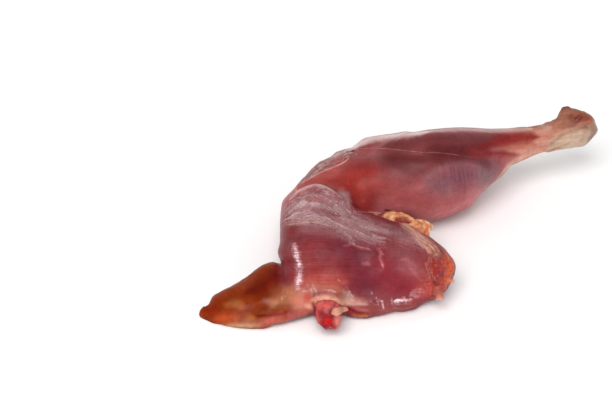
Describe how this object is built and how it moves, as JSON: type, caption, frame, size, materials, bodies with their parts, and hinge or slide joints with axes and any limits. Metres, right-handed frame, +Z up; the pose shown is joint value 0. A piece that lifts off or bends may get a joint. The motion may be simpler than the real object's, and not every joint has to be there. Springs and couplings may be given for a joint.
{
  "type": "raw pheasant leg",
  "caption": "Raw skinned pheasant leg lying on its side: thigh and drumstick meat on the bone, with fat in the crook of the knee and on the flank and with bare bone ends.",
  "frame": {"origin": "on the table, under the middle of the leg's box", "axes": "+X along the drumstick towards the ankle, -Y along the thigh towards the hip, +Z up from the table"},
  "size_m": [0.1496, 0.1104, 0.0335],
  "materials": {
    "meat": "wet, semi-gloss",
    "shin_bone": "damp, satin",
    "thigh_bone": "wet, semi-gloss",
    "knee_fat": "waxy, satin",
    "flank_fat": "waxy, satin"
  },
  "bodies": {
    "root": {"meat": "meat", "shin_bone": "shin_bone", "thigh_bone": "thigh_bone", "knee_fat": "knee_fat", "flank_fat": "flank_fat"}
  },
  "joints": []
}
